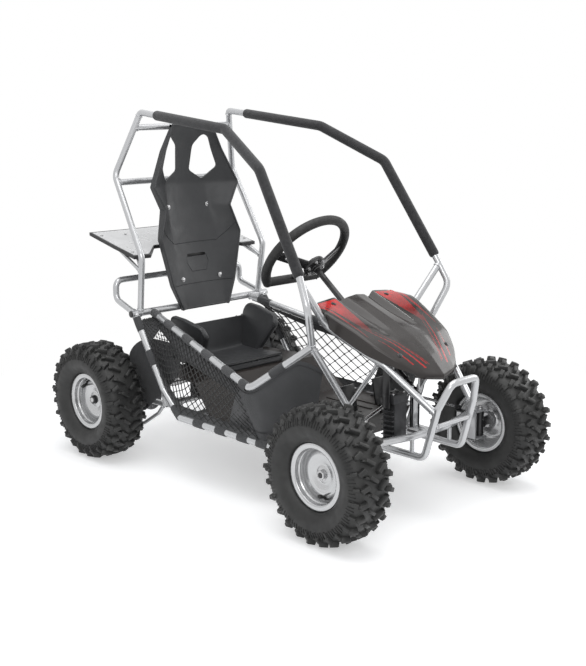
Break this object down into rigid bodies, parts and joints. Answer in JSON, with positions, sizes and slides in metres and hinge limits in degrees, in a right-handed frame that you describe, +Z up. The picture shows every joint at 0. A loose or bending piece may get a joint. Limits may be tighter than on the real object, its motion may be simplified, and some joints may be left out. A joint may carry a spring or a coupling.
{
  "type": "off road go kart",
  "caption": "Single-seat electric off-road go kart with a tube roll cage, bucket seat, side nets, knobby tyres, steered front wheels and a chain-driven rear axle.",
  "frame": {"origin": "on the ground, midway between the axles, on the centre line", "axes": "+X forward, +Y to the driver's left, +Z up"},
  "size_m": [1.404, 0.83, 1.0993],
  "materials": {
    "silver_paint": "satin silver",
    "rim_paint": "satin silver",
    "foam": "black foam",
    "seat_plastic": "fine grain black",
    "hood_plastic": null,
    "cowl_plastic": "silver with black rim",
    "tray_plastic": "dark floor tray",
    "net_cord": "black net",
    "vinyl": "dark grey vinyl",
    "tyre_rubber": "black knobby tread",
    "grip_rubber": "soft grip",
    "black_paint": "semi-gloss black",
    "steel": "plain steel",
    "dark_steel": "dark metal",
    "motor_alloy": "dark finned alloy",
    "battery_case": "black case"
  },
  "bodies": {
    "chassis": {"main_hoop": "silver_paint", "rear_crossbar": "silver_paint", "rear_loop": "silver_paint", "floor_bar_rear": "silver_paint", "floor_bar_front": "silver_paint", "dash_frame": "silver_paint", "bumper": "silver_paint", "front_beam": "silver_paint", "rear_subframe": "silver_paint", "side_frame_right": "silver_paint", "side_frame_left": "silver_paint", "side_rail_right": "silver_paint", "side_rail_left": "silver_paint", "roof_bar_right": "silver_paint", "roof_bar_left": "silver_paint", "front_strut_right": "silver_paint", "front_strut_left": "silver_paint", "roof_foam_right": "foam", "side_net_right": "net_cord", "side_panel_right": "vinyl", "axle_bearing_right": "dark_steel", "roof_foam_left": "foam", "side_net_left": "net_cord", "side_panel_left": "vinyl", "axle_bearing_left": "dark_steel", "seat_back": "seat_plastic", "seat_pan": "seat_plastic", "hood": "hood_plastic", "rear_cowl": "cowl_plastic", "floor_tray": "tray_plastic", "battery_box": "battery_case", "motor_controller": "motor_alloy", "drive_motor": "motor_alloy", "drive_chain": "dark_steel", "brake_caliper": "black_paint", "pedal_bracket": "black_paint"},
    "rear_wheels": {"rear_axle": "steel", "axle_sprocket": "steel", "brake_disc": "steel", "rear_rim_right": "rim_paint", "rear_rim_left": "rim_paint", "rear_tyre_right": "tyre_rubber", "rear_tyre_left": "tyre_rubber"},
    "motor_pinion": {"motor_sprocket": "steel"},
    "knuckle_right": {"knuckle_right": "black_paint"},
    "knuckle_left": {"knuckle_left": "black_paint"},
    "front_wheel_right": {"front_rim_right": "rim_paint", "front_tyre_right": "tyre_rubber"},
    "front_wheel_left": {"front_rim_left": "rim_paint", "front_tyre_left": "tyre_rubber"},
    "tie_rods": {"tie_rod_right": "steel", "tie_rod_left": "steel"},
    "steering": {"steering_column": "black_paint", "steering_wheel": "grip_rubber"},
    "throttle_pedal": {"throttle_pedal": "black_paint"},
    "brake_pedal": {"brake_pedal": "black_paint"}
  },
  "joints": [
    {"name": "axle_spin", "type": "hinge", "parent": "chassis", "child": "rear_wheels", "pos_m": [-0.515, 0, 0.187], "axis": [0, 1, 0], "continuous": true},
    {"name": "pinion_spin", "type": "hinge", "parent": "chassis", "child": "motor_pinion", "pos_m": [-0.38986, 0, 0.21505], "axis": [0, 1, 0], "continuous": true},
    {"name": "steering_turn", "type": "hinge", "parent": "chassis", "child": "steering", "pos_m": [0.08807, 0, 0.67595], "axis": [0.7859, 0, -0.6184], "range_deg": [-42, 42]},
    {"name": "knuckle_right_turn", "type": "hinge", "parent": "chassis", "child": "knuckle_right", "pos_m": [0.515, -0.3, 0.187], "axis": [0, 0, 1], "range_deg": [-25.1, 25.1]},
    {"name": "front_wheel_right_spin", "type": "hinge", "parent": "knuckle_right", "child": "front_wheel_right", "pos_m": [0.515, -0.347, 0.187], "axis": [0, 1, 0], "continuous": true},
    {"name": "knuckle_left_turn", "type": "hinge", "parent": "chassis", "child": "knuckle_left", "pos_m": [0.515, 0.3, 0.187], "axis": [0, 0, 1], "range_deg": [-25.1, 25.1]},
    {"name": "front_wheel_left_spin", "type": "hinge", "parent": "knuckle_left", "child": "front_wheel_left", "pos_m": [0.515, 0.347, 0.187], "axis": [0, 1, 0], "continuous": true},
    {"name": "tie_rod_slide", "type": "slide", "parent": "chassis", "child": "tie_rods", "axis": [0, 1, 0], "range_m": [-0.031, 0.031]},
    {"name": "throttle_pedal_push", "type": "hinge", "parent": "chassis", "child": "throttle_pedal", "pos_m": [0.345, 0, 0.21586], "axis": [0, 1, 0], "range_deg": [0, 20], "stiffness_Nm_per_rad": 3, "springref_deg": -14.32},
    {"name": "brake_pedal_push", "type": "hinge", "parent": "chassis", "child": "brake_pedal", "pos_m": [0.345, 0, 0.21586], "axis": [0, 1, 0], "range_deg": [0, 20], "stiffness_Nm_per_rad": 3, "springref_deg": -14.32}
  ],
  "couplings": [
    {"joint": "pinion_spin", "follows": "axle_spin", "ratio": 3.2632},
    {"joint": "knuckle_right_turn", "follows": "steering_turn", "ratio": -0.59524},
    {"joint": "knuckle_left_turn", "follows": "steering_turn", "ratio": -0.59524},
    {"joint": "tie_rod_slide", "follows": "steering_turn", "m_per_rad": 0.04167}
  ]
}
